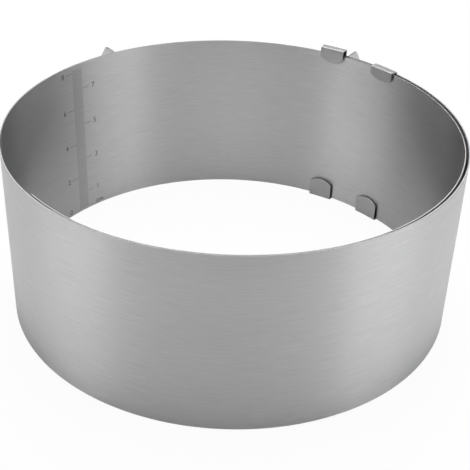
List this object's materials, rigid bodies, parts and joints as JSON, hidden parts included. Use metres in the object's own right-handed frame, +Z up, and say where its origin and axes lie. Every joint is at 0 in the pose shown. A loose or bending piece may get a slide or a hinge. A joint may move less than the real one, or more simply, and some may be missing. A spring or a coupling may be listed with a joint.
{
  "type": "adjustable cake ring",
  "caption": "Tall coiled steel strip ring whose overlapping end slides through folded guide straps, with grips to set its diameter.",
  "frame": {"origin": "bottom centre of the box round the ring at rest", "axes": "+Z up along the ring axis, -Y toward the plain front, the lapped outer end at the back right"},
  "size_m": [0.2074, 0.2068, 0.0889],
  "materials": {
    "strip_steel": "brushed along the strip, satin",
    "strap_steel": "satin sheet",
    "grip_steel": "satin sheet"
  },
  "bodies": {
    "section_01": {"strip_01": "strip_steel", "guide_strap_1": "strap_steel", "grip_right": "grip_steel"},
    "section_02": {"strip_02": "strip_steel", "guide_strap_2": "strap_steel"},
    "section_03": {"strip_03": "strip_steel"},
    "section_04": {"strip_04": "strip_steel"},
    "section_05": {"strip_05": "strip_steel"},
    "section_06": {"strip_06": "strip_steel"},
    "section_07": {"strip_07": "strip_steel"},
    "section_08": {"strip_08": "strip_steel"},
    "section_09": {"strip_09": "strip_steel"},
    "section_10": {"strip_10": "strip_steel"},
    "section_11": {"strip_11": "strip_steel"},
    "section_12": {"strip_12": "strip_steel"},
    "section_13": {"strip_13": "strip_steel"},
    "section_14": {"strip_14": "strip_steel", "grip_left": "grip_steel"},
    "section_15": {"strip_15": "strip_steel"},
    "section_16": {"strip_16": "strip_steel"},
    "section_17": {"strip_17": "strip_steel"},
    "section_18": {"strip_18": "strip_steel"},
    "section_19": {"strip_19": "strip_steel"},
    "section_20": {"strip_20": "strip_steel"},
    "section_21": {"strip_21": "strip_steel"},
    "section_22": {"strip_22": "strip_steel"},
    "section_23": {"strip_23": "strip_steel"},
    "section_24": {"strip_24": "strip_steel"},
    "section_25": {"strip_25": "strip_steel"},
    "section_26": {"strip_26": "strip_steel"}
  },
  "joints": [
    {"name": "diameter", "type": "hinge", "parent": "section_14", "child": "section_15", "pos_m": [-0.05742, 0.08602, 0.0433], "axis": [0, 0, 1], "range_deg": [-4.24, 6.84]},
    {"name": "flex_15", "type": "hinge", "parent": "section_15", "child": "section_16", "pos_m": [-0.02113, 0.10106, 0.0433], "axis": [0, 0, 1], "range_deg": [-4.24, 6.85]},
    {"name": "flex_16", "type": "hinge", "parent": "section_16", "child": "section_17", "pos_m": [0.01812, 0.1014, 0.0433], "axis": [0, 0, 1], "range_deg": [-4.25, 6.86]},
    {"name": "flex_17", "type": "hinge", "parent": "section_17", "child": "section_18", "pos_m": [0.05452, 0.08689, 0.0433], "axis": [0, 0, 1], "range_deg": [-4.25, 6.85]},
    {"name": "flex_18", "type": "hinge", "parent": "section_18", "child": "section_19", "pos_m": [0.08253, 0.05968, 0.0433], "axis": [0, 0, 1], "range_deg": [-4.24, 6.84]},
    {"name": "flex_19", "type": "hinge", "parent": "section_19", "child": "section_20", "pos_m": [0.09842, 0.02419, 0.0433], "axis": [0, 0, 1], "range_deg": [-4.24, 6.83]},
    {"name": "flex_20", "type": "hinge", "parent": "section_20", "child": "section_21", "pos_m": [0.10031, -0.01462, 0.0433], "axis": [0, 0, 1], "range_deg": [-4.25, 6.86]},
    {"name": "flex_21", "type": "hinge", "parent": "section_21", "child": "section_22", "pos_m": [0.08763, -0.05145, 0.0433], "axis": [0, 0, 1], "range_deg": [-4.27, 6.89]},
    {"name": "flex_22", "type": "hinge", "parent": "section_22", "child": "section_23", "pos_m": [0.06179, -0.08069, 0.0433], "axis": [0, 0, 1], "range_deg": [-4.28, 6.91]},
    {"name": "flex_23", "type": "hinge", "parent": "section_23", "child": "section_24", "pos_m": [0.02683, -0.098, 0.0433], "axis": [0, 0, 1], "range_deg": [-4.29, 6.92]},
    {"name": "flex_24", "type": "hinge", "parent": "section_24", "child": "section_25", "pos_m": [-0.01203, -0.10094, 0.0433], "axis": [0, 0, 1], "range_deg": [-4.3, 6.93]},
    {"name": "flex_25", "type": "hinge", "parent": "section_25", "child": "section_26", "pos_m": [-0.04913, -0.0891, 0.0433], "axis": [0, 0, 1], "range_deg": [-4.3, 6.94]},
    {"name": "flex_13", "type": "hinge", "parent": "section_14", "child": "section_13", "pos_m": [-0.08545, 0.05843, 0.0433], "axis": [0, 0, 1], "range_deg": [-6.83, 4.23]},
    {"name": "flex_12", "type": "hinge", "parent": "section_13", "child": "section_12", "pos_m": [-0.1011, 0.02232, 0.0433], "axis": [0, 0, 1], "range_deg": [-6.82, 4.23]},
    {"name": "flex_11", "type": "hinge", "parent": "section_12", "child": "section_11", "pos_m": [-0.10208, -0.01706, 0.0433], "axis": [0, 0, 1], "range_deg": [-6.81, 4.22]},
    {"name": "flex_10", "type": "hinge", "parent": "section_11", "child": "section_10", "pos_m": [-0.0882, -0.05396, 0.0433], "axis": [0, 0, 1], "range_deg": [-6.8, 4.22]},
    {"name": "flex_09", "type": "hinge", "parent": "section_10", "child": "section_09", "pos_m": [-0.06147, -0.083, 0.0433], "axis": [0, 0, 1], "range_deg": [-6.79, 4.21]},
    {"name": "flex_08", "type": "hinge", "parent": "section_09", "child": "section_08", "pos_m": [-0.02578, -0.09991, 0.0433], "axis": [0, 0, 1], "range_deg": [-6.78, 4.2]},
    {"name": "flex_07", "type": "hinge", "parent": "section_08", "child": "section_07", "pos_m": [0.01369, -0.1022, 0.0433], "axis": [0, 0, 1], "range_deg": [-6.77, 4.2]},
    {"name": "flex_06", "type": "hinge", "parent": "section_07", "child": "section_06", "pos_m": [0.05117, -0.08952, 0.0433], "axis": [0, 0, 1], "range_deg": [-6.76, 4.19]},
    {"name": "flex_05", "type": "hinge", "parent": "section_06", "child": "section_05", "pos_m": [0.08119, -0.06368, 0.0433], "axis": [0, 0, 1], "range_deg": [-6.75, 4.19]},
    {"name": "flex_04", "type": "hinge", "parent": "section_05", "child": "section_04", "pos_m": [0.09934, -0.02845, 0.0433], "axis": [0, 0, 1], "range_deg": [-6.74, 4.18]},
    {"name": "flex_03", "type": "hinge", "parent": "section_04", "child": "section_03", "pos_m": [0.10297, 0.01106, 0.0433], "axis": [0, 0, 1], "range_deg": [-6.74, 4.18]},
    {"name": "flex_02", "type": "hinge", "parent": "section_03", "child": "section_02", "pos_m": [0.0915, 0.04908, 0.0433], "axis": [0, 0, 1], "range_deg": [-6.73, 4.17]},
    {"name": "flex_01", "type": "hinge", "parent": "section_02", "child": "section_01", "pos_m": [0.06659, 0.08005, 0.0433], "axis": [0, 0, 1], "range_deg": [-5.62, 3.49]}
  ],
  "couplings": [
    {"joint": "flex_15", "follows": "diameter", "ratio": 1.0013},
    {"joint": "flex_16", "follows": "diameter", "ratio": 1.0026},
    {"joint": "flex_17", "follows": "diameter", "ratio": 1.0022},
    {"joint": "flex_18", "follows": "diameter", "ratio": 0.99994},
    {"joint": "flex_19", "follows": "diameter", "ratio": 0.9995},
    {"joint": "flex_20", "follows": "diameter", "ratio": 1.003},
    {"joint": "flex_21", "follows": "diameter", "ratio": 1.0078},
    {"joint": "flex_22", "follows": "diameter", "ratio": 1.0107},
    {"joint": "flex_23", "follows": "diameter", "ratio": 1.0121},
    {"joint": "flex_24", "follows": "diameter", "ratio": 1.0134},
    {"joint": "flex_25", "follows": "diameter", "ratio": 1.0147},
    {"joint": "flex_13", "follows": "diameter", "ratio": -0.99865},
    {"joint": "flex_12", "follows": "diameter", "ratio": -0.9973},
    {"joint": "flex_11", "follows": "diameter", "ratio": -0.99594},
    {"joint": "flex_10", "follows": "diameter", "ratio": -0.99459},
    {"joint": "flex_09", "follows": "diameter", "ratio": -0.99323},
    {"joint": "flex_08", "follows": "diameter", "ratio": -0.99187},
    {"joint": "flex_07", "follows": "diameter", "ratio": -0.99051},
    {"joint": "flex_06", "follows": "diameter", "ratio": -0.98915},
    {"joint": "flex_05", "follows": "diameter", "ratio": -0.98779},
    {"joint": "flex_04", "follows": "diameter", "ratio": -0.98643},
    {"joint": "flex_03", "follows": "diameter", "ratio": -0.98507},
    {"joint": "flex_02", "follows": "diameter", "ratio": -0.9837},
    {"joint": "flex_01", "follows": "diameter", "ratio": -0.82234}
  ]
}
